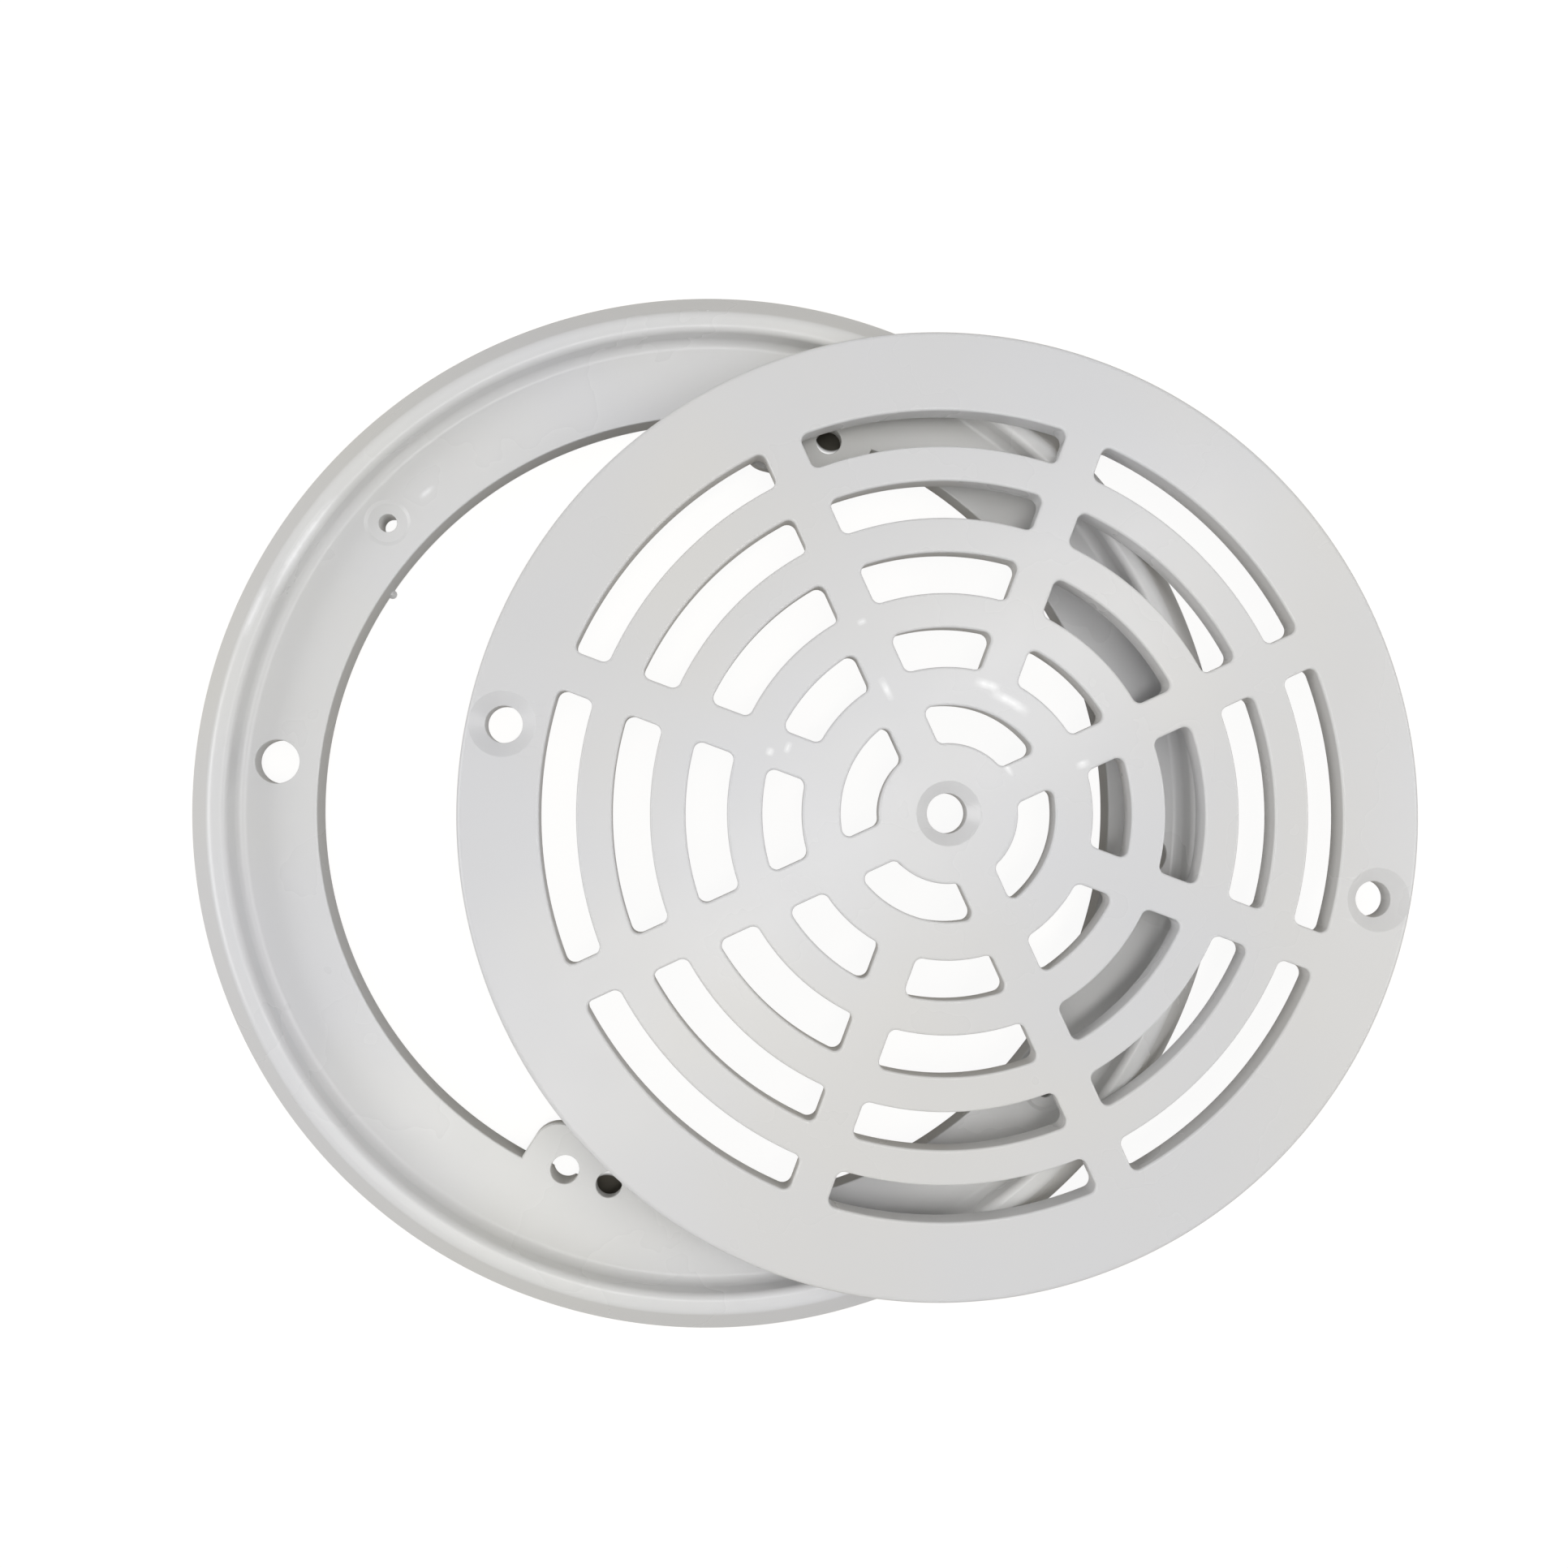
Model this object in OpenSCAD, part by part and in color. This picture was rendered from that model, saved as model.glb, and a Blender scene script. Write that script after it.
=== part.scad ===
// Pool main drain cover: a moulded frame ring with its slotted grate lying on it.
// Millimetres, +Z up. The origin is the middle of the ring's seating face.
// The grate lies flat on the ring's rim, slid along +X out of its recess.

/* [Frame ring] */
// Outside diameter of the ring
ring_d = 203.2; // [200:0.2:206]
// Height of the ring from its seating face to the top of the rim
ring_h = 10.5; // [9.5:0.5:12]
// Diameter where the flat top of the rim ends and its slope begins
rim_flat_d = 192; // [190:0.5:194]
// Height at which the rim's slope meets the upright skirt
skirt_h = 4.2; // [3.6:0.1:5]
// Diameter of the recess that takes the grate
recess_d = 185.2; // [184.8:0.1:187]
// Depth of that recess
recess_depth = 5.5; // [5.2:0.1:5.8]
// Diameter of the central opening
opening_d = 155.4; // [154:0.2:157]
// Thickness of the recess floor
floor_t = 3.3; // [2.5:0.1:3.6]
// Thickness of the skirt and of the lip round the opening
wall_t = 3; // [2.4:0.1:3.4]
// Radius of the moulded outside edges
edge_r = 0.6; // [0.3:0.1:0.8]
// Radius where the rim's flat top turns into its slope
rim_round = 2.4; // [1.6:0.1:3]
// Radius where the slope turns into the skirt
skirt_round = 1.2; // [0.8:0.1:1.6]

/* [Screw ears] */
// Bolt circle of the holes in the ears
ear_pcd = 152.4; // [151:0.1:153]
// Direction of the main hole of one ear, with its twin opposite
ear_angle = 74.8; // [70:0.1:80]
// Angle from the main hole of an ear to its second hole
ear_pitch = 6.8; // [6:0.1:8]
// Diameter of the main hole of an ear
ear_hole_d = 5; // [4:0.1:6]
// Diameter of the second hole of an ear
second_hole_d = 5.5; // [4:0.1:6]
// Distance from the ring's centre to the inner end of an ear
ear_end = 67.7; // [66:0.1:69]
// How far an ear reaches past its holes on each side
ear_side = 7.7; // [7:0.1:9]
// Radius of an ear's inner corners
ear_corner = 5.2; // [4:0.1:6]
// Thickness of the ears
ear_t = 2.2; // [2:0.1:3.3]

/* [Ring floor holes] */
// Screw circle of the grate, on the ring and on the grate
screw_pcd = 170.8; // [169:0.1:172]
// Direction of the pilot holes for the grate screws
pilot_angle = 140.5; // [135:0.1:145]
// Diameter of the pilot holes
pilot_d = 3.5; // [3:0.1:4]
// Diameter of the shallow spot round each pilot hole
spot_d = 9; // [8:0.5:10]
// Depth of that spot
spot_depth = 0.3; // [0.2:0.1:0.5]
// Diameter of the boss under each pilot hole
boss_d = 10; // [9.8:0.1:10.6]
// Circle of the two plain fixing holes
fixing_pcd = 171.6; // [170:0.1:173]
// Direction of those holes
fixing_angle = 175.1; // [170:0.1:178]
// Diameter of the plain fixing holes
fixing_d = 8.4; // [8:0.1:9]

/* [Ring underside] */
// Number of stiffening ribs under the ring
rib_count = 16; // [8:1:20]
// Thickness of one rib
rib_t = 2; // [1.6:0.1:2.4]
// Direction of the first rib
rib_angle = 4; // [0:1:8]
// How far the ribs stop above the seating face
rib_gap = 1; // [0.5:0.1:1.5]

/* [Grate] */
// Diameter of the grate
grate_d = 184.4; // [183.6:0.1:184.6]
// Thickness of the grate
grate_t = 5.2; // [4.8:0.1:5.4]
// Thickness of the grate over the groove under its outer band
plate_t = 3; // [2.6:0.1:3.4]
// Thickness of the walls on both sides of that groove
groove_wall = 2.6; // [2.2:0.1:2.8]
// Slide of the grate from the ring's centre
grate_shift = 43.3; // [30:0.1:48]
// Direction of one spoke, the other seven following at equal steps
spoke_angle = 25.7; // [0:0.1:45]
// Width of a spoke
spoke_w = 7.6; // [7:0.1:8.4]
// Outer radii of the slots, from the rim inwards
slot_outer = [76.9, 63.4, 49.7, 35.3];
// Widths of those slots
slot_width = [6.8, 7, 7.7, 7.4];
// Radius of the slots' rounded corners
slot_corner = 1.5; // [1:0.1:1.8]
// Outer radius of the four slots round the hub
hub_slot_outer = 20.5; // [20:0.1:21]
// Inner radius of those four slots
hub_slot_inner = 13.4; // [13:0.1:14]

/* [Grate holes] */
// Direction of the grate's two screw holes
grate_hole_angle = 169.9; // [166:0.1:173]
// Diameter of the screw holes
grate_hole_d = 7; // [6.5:0.1:7.5]
// Diameter of the hub hole
hub_hole_d = 7.7; // [7:0.1:8]
// Diameter of a countersink at the top face
sink_d = 12.4; // [11.5:0.1:13]
// Depth of a countersink
sink_depth = 1.9; // [1.5:0.1:2.4]
// Width of the solid bar across the groove at each screw hole
bar_w = 12.4; // [12:0.2:14]

/* [Hidden] */
$fn = 96;
ring_r = ring_d / 2;
rim_flat_r = rim_flat_d / 2;
recess_r = recess_d / 2;
opening_r = opening_d / 2;
floor_z = ring_h - recess_depth;
under_z = floor_z - floor_t;
spoke_count = 8;
spoke_step = 360 / spoke_count;
slot_rows = len(slot_outer);
grate_r = grate_d / 2;
grate_edge_r = 1;
groove_depth = grate_t - plate_t;
groove_outer = grate_r - groove_wall;
groove_inner = slot_outer[0] + groove_wall;
// How far outside the recess wall the hollow under the rim begins
hollow_foot = 0.4;
over = 1;
// How far a rounding circle bites past the edges it rounds off
bite = 0.01;
white = [0.86, 0.86, 0.86];

// Unit vector in the direction of an angle
function dir(angle) = [cos(angle), sin(angle)];

// What rounds off a corner whose two edges leave it along unit vectors u and v
module corner_cut(corner, u, v, r) {
    half = acos(u * v) / 2;
    reach = r / tan(half);
    inward = (u + v) / norm(u + v);
    centre = corner + inward * r / sin(half);
    difference() {
        polygon([
            corner - (u + v) * r,
            corner + u * reach - v * r,
            corner + u * reach,
            centre,
            corner + v * reach,
            corner + v * reach - u * r
        ]);
        translate(centre - inward * bite) circle(r = r);
    }
}

// Section of the ring: lip, recess floor, recess wall, rim, slope and skirt
module ring_section() {
    slope = [ring_r - rim_flat_r, skirt_h - ring_h];
    down = slope / norm(slope);
    difference() {
        polygon([
            [opening_r, 0],
            [ring_r, 0],
            [ring_r, skirt_h],
            [rim_flat_r, ring_h],
            [recess_r, ring_h],
            [recess_r, floor_z],
            [opening_r, floor_z]
        ]);
        ring_core();
        corner_cut([rim_flat_r, ring_h], [-1, 0], down, rim_round);
        corner_cut([ring_r, skirt_h], -down, [0, -1], skirt_round);
        corner_cut([recess_r, ring_h], [1, 0], [0, -1], edge_r);
        corner_cut([opening_r, floor_z], [1, 0], [0, -1], edge_r / 2);
        corner_cut([opening_r, 0], [1, 0], [0, 1], edge_r / 2);
        corner_cut([ring_r, 0], [-1, 0], [0, 1], edge_r / 2);
    }
    floor_fillet();
}

// Small fillet where the recess wall meets the floor
module floor_fillet() {
    difference() {
        translate([recess_r - edge_r, floor_z - edge_r]) square(2 * edge_r);
        translate([recess_r - edge_r + bite, floor_z + edge_r - bite]) circle(r = edge_r);
    }
}

// Hollow under the floor and the rim that keeps the walls even
module ring_core() {
    polygon([
        [opening_r + wall_t, -over],
        [ring_r - wall_t, -over],
        [ring_r - wall_t, skirt_h - wall_t / 2],
        [rim_flat_r - wall_t / 2, ring_h - wall_t],
        [recess_r + hollow_foot, under_z],
        [opening_r + wall_t, under_z]
    ]);
}

// Plan of one ear, whose main hole lies along +X
module ear_plan() {
    half_w = ear_pcd / 2 * sin(ear_pitch / 2) + ear_side;
    rotate(ear_pitch / 2) difference() {
        intersection() {
            translate([ear_end, -half_w]) square([opening_r, 2 * half_w]);
            circle(r = opening_r + wall_t / 2);
        }
        corner_cut([ear_end, -half_w], [1, 0], [0, 1], ear_corner);
        corner_cut([ear_end, half_w], [1, 0], [0, -1], ear_corner);
    }
}

// Both ears, the second one mirrored so that the main holes lie opposite each other
module at_ears() {
    for (side = [0, 1]) {
        rotate(side * 180 + ear_angle) mirror([0, side, 0]) children();
    }
}

module ears() {
    at_ears() translate([0, 0, floor_z - ear_t]) linear_extrude(ear_t) ear_plan();
}

module ear_holes() {
    at_ears() {
        translate([ear_pcd / 2, 0, -over]) cylinder(d = ear_hole_d, h = ring_h);
        rotate(ear_pitch) translate([ear_pcd / 2, 0, -over]) cylinder(d = second_hole_d, h = ring_h);
    }
}

// Things that come in opposite pairs on a circle of diameter pcd
module pair(pcd, angle) {
    for (half = [0, 180]) {
        rotate(angle + half) translate([pcd / 2, 0, 0]) children();
    }
}

module ring_ribs() {
    intersection() {
        for (i = [0 : rib_count - 1]) {
            rotate(i * 360 / rib_count + rib_angle)
                translate([opening_r + wall_t / 2, -rib_t / 2, 0])
                cube([ring_r - opening_r - wall_t, rib_t, ring_h - wall_t / 2]);
        }
        rotate_extrude($fn = 180) ring_rib_section();
    }
}

// Ribs stop short of the seating face
module ring_rib_section() {
    polygon([
        [opening_r + wall_t / 2, rib_gap],
        [ring_r - wall_t / 2, rib_gap],
        [ring_r - wall_t / 2, skirt_h - over],
        [rim_flat_r, ring_h - wall_t / 2],
        [recess_r + over, ring_h - wall_t / 2],
        [recess_r + over, floor_z - over],
        [opening_r + wall_t / 2, floor_z - over]
    ]);
}

module frame_ring() {
    color(white) difference() {
        union() {
            rotate_extrude($fn = 180) ring_section();
            ring_ribs();
            ears();
            pair(screw_pcd, pilot_angle) cylinder(d = boss_d, h = floor_z - over);
        }
        pair(screw_pcd, pilot_angle) translate([0, 0, -over]) cylinder(d = pilot_d, h = ring_h);
        pair(screw_pcd, pilot_angle) translate([0, 0, floor_z - spot_depth]) cylinder(d = spot_d, h = over);
        pair(fixing_pcd, fixing_angle) translate([0, 0, -over]) cylinder(d = fixing_d, h = ring_h);
        ear_holes();
    }
}

// Cut for one rounded slot corner beside the spoke that runs along +X
module slot_corner_cut(r, way) {
    arm = r - way * slot_corner;
    side = spoke_w / 2;
    centre = [sqrt(arm ^ 2 - (side + slot_corner) ^ 2), side + slot_corner];
    tip = sqrt(r ^ 2 - side ^ 2);
    outward = ([tip, side] - centre) / norm([tip, side] - centre);
    difference() {
        polygon([
            centre,
            centre * (r + way * over) / arm,
            [tip + way * over, side - over],
            [centre[0], side - over]
        ]);
        translate(centre + outward * bite) circle(r = slot_corner);
    }
}

// Plan of a slot between two spokes that stand a given angle apart, opening along +X
module slot_plan(r_in, r_out, spread) {
    half = spread / 2;
    apex = [spoke_w / 2 / sin(half), 0];
    reach = 2 * r_out;
    difference() {
        intersection() {
            circle(r = r_out);
            polygon([apex, apex + reach * dir(-half), apex + reach * dir(half)]);
        }
        circle(r = r_in);
        for (m = [0, 1]) {
            mirror([0, m, 0]) rotate(-half) {
                slot_corner_cut(r_out, 1);
                slot_corner_cut(r_in, -1);
            }
        }
    }
}

// All slots: four rows between the eight spokes, and four slots round the hub
module slots_plan() {
    for (row = [0 : slot_rows - 1]) {
        for (i = [0 : spoke_count - 1]) {
            rotate(spoke_angle + (i + 0.5) * spoke_step)
                slot_plan(slot_outer[row] - slot_width[row], slot_outer[row], spoke_step);
        }
    }
    for (i = [0 : spoke_count / 2 - 1]) {
        rotate(spoke_angle + (2 * i + 1) * spoke_step)
            slot_plan(hub_slot_inner, hub_slot_outer, 2 * spoke_step);
    }
}

// Section of the grate's disc, with rounded edges
module grate_section() {
    difference() {
        square([grate_r, grate_t]);
        corner_cut([grate_r, grate_t], [-1, 0], [0, -1], grate_edge_r);
        corner_cut([grate_r, 0], [-1, 0], [0, 1], grate_edge_r / 2);
    }
}

// Plan of the groove under the outer band, stopped by a bar at each screw hole
module groove_plan() {
    difference() {
        circle(r = groove_outer);
        circle(r = groove_inner);
        rotate(grate_hole_angle) square([2 * grate_r, bar_w], center = true);
    }
}

// Countersunk through hole, seen from the top face down
module sunk_hole(d) {
    flare = sink_d + (sink_d - d) * over / sink_depth;
    translate([0, 0, -over]) cylinder(d = d, h = grate_t + 2 * over);
    translate([0, 0, grate_t - sink_depth]) cylinder(d1 = d, d2 = flare, h = sink_depth + over);
}

module grate_solid() {
    difference() {
        rotate_extrude($fn = 180) grate_section();
        translate([0, 0, -over]) linear_extrude(groove_depth + over) groove_plan();
        translate([0, 0, -over]) linear_extrude(grate_t + 2 * over) slots_plan();
        pair(screw_pcd, grate_hole_angle) sunk_hole(grate_hole_d);
        sunk_hole(hub_hole_d);
    }
}

// The grate as it lies, on top of the ring's rim
module grate() {
    color(white) translate([grate_shift, 0, ring_h]) grate_solid();
}

frame_ring();
grate();
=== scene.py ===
# %% [markdown]
# # Pool main drain cover
#
# The real cover is two white mouldings: a stepped frame ring and the slotted grate that is
# screwed into it. The exact solids come from the packed CAD model. This script gives them the
# soft edges, the surface and the light of moulded plastic.
#
# Everything starts from the CAD frame, which brings the solids.

# %% Load the CAD frame
import math

import bmesh
import bpy
from mathutils import Matrix, Vector


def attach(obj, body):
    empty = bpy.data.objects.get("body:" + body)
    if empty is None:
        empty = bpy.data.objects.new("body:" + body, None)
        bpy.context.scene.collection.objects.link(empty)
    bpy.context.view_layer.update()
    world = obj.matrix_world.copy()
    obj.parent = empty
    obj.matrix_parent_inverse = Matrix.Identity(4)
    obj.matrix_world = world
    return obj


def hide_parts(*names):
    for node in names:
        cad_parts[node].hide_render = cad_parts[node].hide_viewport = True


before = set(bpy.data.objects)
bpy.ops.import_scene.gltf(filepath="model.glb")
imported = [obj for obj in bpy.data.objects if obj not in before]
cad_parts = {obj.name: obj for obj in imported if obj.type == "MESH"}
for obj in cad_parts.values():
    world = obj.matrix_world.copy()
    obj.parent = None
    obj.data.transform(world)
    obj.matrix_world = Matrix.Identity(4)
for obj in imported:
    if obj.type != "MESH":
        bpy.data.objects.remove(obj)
scene = bpy.context.scene
bpy.context.view_layer.update()

# %% [markdown]
# Sizes are written in millimetres, as in the part's source, and turned into metres here. A hair
# is the small step that keeps two faces apart, or finds an edge that lies at a given height.

# %% Units
MM = 0.001


def mm(*values):
    """Millimetres as metres: one number, or a vector of three."""
    scaled = [value * MM for value in values]
    return scaled[0] if len(scaled) == 1 else Vector(scaled)


HAIR = mm(0.01)
print("one inch is", mm(25.4), "m, and a hair", HAIR, "m")

# %% [markdown]
# Node trees soon get hard to read when every sum is a node made by hand. A small class wraps
# one output socket, so that `1 - mask` or `width * 0.5` adds the Math node by itself. The same
# class serves materials and Geometry Nodes, because both use the same Math node.


# %% A socket that takes part in sums
class Wire:
    """One output socket of a node tree. Plain arithmetic on it adds Math nodes."""

    def __init__(self, graph, socket):
        self.graph = graph
        self.socket = socket

    def other(self, name):
        """Another output of the same node."""
        return Wire(self.graph, self.socket.node.outputs[name])

    def math(self, operation, *values):
        return self.graph.add("ShaderNodeMath", {"operation": operation}, dict(enumerate(values)))

    def __add__(self, value):
        return self.math("ADD", self, value)

    def __sub__(self, value):
        return self.math("SUBTRACT", self, value)

    def __rsub__(self, value):
        return self.math("SUBTRACT", value, self)

    def __mul__(self, value):
        return self.math("MULTIPLY", self, value)

    def __truediv__(self, value):
        return self.math("DIVIDE", self, value)

    def __rtruediv__(self, value):
        return self.math("DIVIDE", value, self)

    def __gt__(self, value):
        return self.math("GREATER_THAN", self, value)

    def __lt__(self, value):
        return self.math("LESS_THAN", self, value)

    def __neg__(self):
        return self * -1

    def __abs__(self):
        return self.math("ABSOLUTE", self)

    __radd__ = __add__
    __rmul__ = __mul__

    def clip(self):
        """The value held between 0 and 1."""
        return self.graph.add("ShaderNodeClamp", {}, {"Value": self})

    def sin(self):
        return self.math("SINE", self)

    def cos(self):
        return self.math("COSINE", self)

    def arcsin(self):
        return self.math("ARCSINE", self)


print("sums, products, comparisons and sines now work on sockets")

# %% [markdown]
# Every node is made by one method: its type, then its settings, then the values or links of
# its sockets. The order matters, because a setting such as a data type decides which sockets
# the node has.


# %% One way to add any node
class Graph:
    """A node tree under construction."""

    def __init__(self, tree):
        self.tree = tree
        tree.nodes.clear()
        self.entry = None

    def add(self, kind, settings, inputs):
        """Adds a node: its settings first, then the values or links of its sockets."""
        node = self.tree.nodes.new(kind)
        for name, value in settings.items():
            if name == "items":
                while len(node.index_switch_items) < value:
                    node.index_switch_items.new()
            else:
                setattr(node, name, value)
        for key, value in inputs.items():
            for one in value if isinstance(value, list) else [value]:
                if isinstance(one, Wire):
                    self.tree.links.new(one.socket, node.inputs[key])
                else:
                    node.inputs[key].default_value = one
        return Wire(self, node.outputs[0]) if node.outputs else None

    def takes(self, name, kind="Float"):
        """A named input of the whole tree."""
        self.tree.interface.new_socket(name, in_out="INPUT", socket_type="NodeSocket" + kind)
        if self.entry is None:
            self.entry = self.tree.nodes.new("NodeGroupInput")
        return Wire(self, self.entry.outputs[name])

    def gives(self, name, wire, kind="Geometry"):
        """A named output of the whole tree."""
        self.tree.interface.new_socket(name, in_out="OUTPUT", socket_type="NodeSocket" + kind)
        self.add("NodeGroupOutput", {}, {name: wire})

    def vector(self, x=0.0, y=0.0, z=0.0):
        return self.add("ShaderNodeCombineXYZ", {}, {"X": x, "Y": y, "Z": z})

    def mix(self, factor, first, second):
        """A colour between two colours."""
        inputs = {0: factor, 6: first, 7: second}
        return self.add("ShaderNodeMix", {"data_type": "RGBA"}, inputs).other(2)


def new_geometry_graph(name):
    return Graph(bpy.data.node_groups.new(name, "GeometryNodeTree"))


print("a graph can", [name for name in vars(Graph) if not name.startswith("_")])

# %% [markdown]
# A slot of the grate is bounded by two arcs and by the parallel sides of two spokes, and its
# four corners are round. It could be drawn point by point, but the rule is short: a closed
# curve whose points are told by their index where to go, and a Fillet Curve that rounds only
# the four corners. The first and last points of an arc keep some distance from the corners,
# to leave the fillet its room.


# %% The outline of one slot as a node group
def build_slot_outline(arc_points=28):
    graph = new_geometry_graph("slot outline")
    outer = graph.takes("Outer radius")
    inner = graph.takes("Inner radius")
    spoke = graph.takes("Spoke width")
    spread = graph.takes("Spread")
    corner = graph.takes("Corner radius")
    index = graph.add("GeometryNodeInputIndex", {}, {})
    last = arc_points - 1
    on_inner = index > arc_points - 0.5
    along = index * (1 - on_inner) + (2 * arc_points - 1 - index) * on_inner
    radius = outer * (1 - on_inner) + inner * on_inner
    half = spread * 0.5 - (spoke * 0.5 / radius).arcsin()
    margin = corner * 1.2 / (radius * half * 2)
    middle = margin + (1 - 2 * margin) * (along - 1) / (last - 2)
    at_end = along > last - 0.5
    share = middle * (along > 0.5) * (1 - at_end) + at_end
    angle = (share * 2 - 1) * half
    place = graph.vector(radius * angle.cos(), radius * angle.sin())
    loop = graph.add("GeometryNodeCurvePrimitiveCircle", {}, {"Resolution": 2 * arc_points})
    loop = graph.add("GeometryNodeSetPosition", {}, {"Geometry": loop, "Position": place})
    is_corner = (along < 0.5) + at_end
    rounded = graph.add(
        "GeometryNodeFilletCurve",
        {"mode": "POLY"},
        {"Curve": loop, "Count": 7, "Radius": corner * is_corner, "Limit Radius": True},
    )
    graph.gives("Curve", rounded)
    return graph.tree


slot_outline = build_slot_outline()
print("slot outline:", len(slot_outline.nodes), "nodes")

# %% [markdown]
# Slots, ribs, ears and screw holes all come round the cover's middle at even angles. One small
# group does it for all of them: points, an instance on each, and a turn that grows with the
# index. Realize Instances makes real geometry of the copies, which cutting and export need.


# %% Copies round a circle as a node group
def build_copies_around():
    graph = new_geometry_graph("copies around")
    shape = graph.takes("Geometry", "Geometry")
    count = graph.takes("Count", "Int")
    start = graph.takes("Start angle")
    step = graph.takes("Step")
    index = graph.add("GeometryNodeInputIndex", {}, {})
    points = graph.add("GeometryNodePoints", {}, {"Count": count})
    copies = graph.add(
        "GeometryNodeInstanceOnPoints",
        {},
        {"Points": points, "Instance": shape, "Rotation": graph.vector(z=start + index * step)},
    )
    graph.gives("Geometry", graph.add("GeometryNodeRealizeInstances", {}, {"Geometry": copies}))
    return graph.tree


copies_around = build_copies_around()
print("copies around:", len(copies_around.nodes), "nodes")

# %% [markdown]
# Every edge of the cover is a profile swept along an outline: down through a slot, down a
# countersink, or round the ring. The profile is a short line whose corners are filleted, and
# each of its points says how round its own corner is.


# %% Lines with round corners
def by_index(graph, kind, values):
    """Gives each point the value whose place in the list is the point's index."""
    inputs = {str(number): value for number, value in enumerate(values)}
    inputs["Index"] = graph.add("GeometryNodeInputIndex", {}, {})
    settings = {"data_type": kind, "items": len(values)}
    return graph.add("GeometryNodeIndexSwitch", settings, inputs)


def profile_line(graph, points, closed=False):
    """A line through (x, y, rounding) points, open or closed, with its corners filleted."""
    line = graph.add("GeometryNodeMeshLine", {"mode": "OFFSET"}, {"Count": len(points)})
    place = by_index(graph, "VECTOR", [graph.vector(x, y) for x, y, _ in points])
    line = graph.add("GeometryNodeSetPosition", {}, {"Geometry": line, "Position": place})
    curve = graph.add("GeometryNodeMeshToCurve", {}, {"Mesh": line})
    curve = graph.add("GeometryNodeSetSplineCyclic", {}, {"Geometry": curve, "Cyclic": closed})
    rounding = by_index(graph, "FLOAT", [radius for _, _, radius in points])
    return graph.add(
        "GeometryNodeFilletCurve",
        {"mode": "POLY"},
        {"Curve": curve, "Count": 7, "Radius": rounding, "Limit Radius": True},
    )


print("profile points are (x, y, rounding), in metres")

# %% [markdown]
# Curve to Mesh sweeps a profile. Its X points away from the middle of a loop, and its Y points
# down. A turned body works the other way round: a ring is swept along the outline, and grows
# and shrinks with the outline's radius. That gives a closed solid with caps, which Boolean
# nodes can cut with.


# %% Sweeps and turned bodies
def circle(graph, radius, points):
    return graph.add(
        "GeometryNodeCurvePrimitiveCircle", {}, {"Resolution": points, "Radius": radius}
    )


def sweep(graph, path, profile):
    return graph.add("GeometryNodeCurveToMesh", {}, {"Curve": path, "Profile Curve": profile})


def turned(graph, points, segments=96):
    """A closed turned solid whose outline runs through (radius, depth, rounding) points."""
    line = profile_line(graph, points)
    spot = graph.add("GeometryNodeInputPosition", {}, {})
    spot = graph.add("ShaderNodeSeparateXYZ", {}, {"Vector": spot})
    line = graph.add("GeometryNodeSetCurveRadius", {}, {"Curve": line, "Radius": spot})
    place = graph.vector(z=-spot.other("Y"))
    line = graph.add("GeometryNodeSetPosition", {}, {"Geometry": line, "Position": place})
    return graph.add(
        "GeometryNodeCurveToMesh",
        {},
        {
            "Curve": line,
            "Profile Curve": circle(graph, 1.0, segments),
            "Scale": graph.add("GeometryNodeInputRadius", {}, {}),
            "Fill Caps": True,
        },
    )


print("a turned body has 96 sides unless it says otherwise")

# %% [markdown]
# The Manifold solver is the quick and exact one for closed solids. It must never be given a
# shape that is inside out, so `flipped` turns such a shape first.


# %% Cutting, fusing and placing
def cut(graph, body, *tools):
    return graph.add(
        "GeometryNodeMeshBoolean",
        {"operation": "DIFFERENCE", "solver": "MANIFOLD"},
        {"Mesh 1": body, "Mesh 2": list(tools)},
    )


def fused(graph, *parts):
    return graph.add(
        "GeometryNodeMeshBoolean",
        {"operation": "UNION", "solver": "MANIFOLD"},
        {"Mesh 2": list(parts)},
    )


def moved(graph, shape, offset):
    return graph.add("GeometryNodeTransform", {}, {"Geometry": shape, "Translation": offset})


def joined(graph, *shapes):
    return graph.add("GeometryNodeJoinGeometry", {}, {"Geometry": list(reversed(shapes))})


def around(graph, shape, count, start, step):
    return graph.add(
        "GeometryNodeGroup",
        {"node_tree": copies_around},
        {"Geometry": shape, "Count": count, "Start angle": start, "Step": step},
    )


def pair(graph, shape, circle_radius, angle, step=math.pi):
    """Two copies on a circle, opposite each other unless a step is given."""
    return around(graph, moved(graph, shape, graph.vector(circle_radius)), 2, angle, step)


def flipped(graph, shape):
    return graph.add("GeometryNodeFlipFaces", {}, {"Mesh": shape})


print("half a turn between a pair:", round(math.degrees(math.pi)), "degrees")

# %% [markdown]
# Each piece has one table of sizes. The table makes the named inputs of the tree and later
# fills them in, so that the modifier shows "Slot draft" or "Rib count" and no bare number.


# %% Named sizes
SHARP_ANGLE = math.radians(35)


def named_inputs(graph, table):
    """Makes an input for each entry of the table. Gives the wires under the same names."""
    graph.takes("Geometry", "Geometry")
    kinds = {float: "Float", int: "Int", Vector: "Vector"}
    return {name: graph.takes(name, kinds[type(value)]) for name, value in table.items()}


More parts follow.
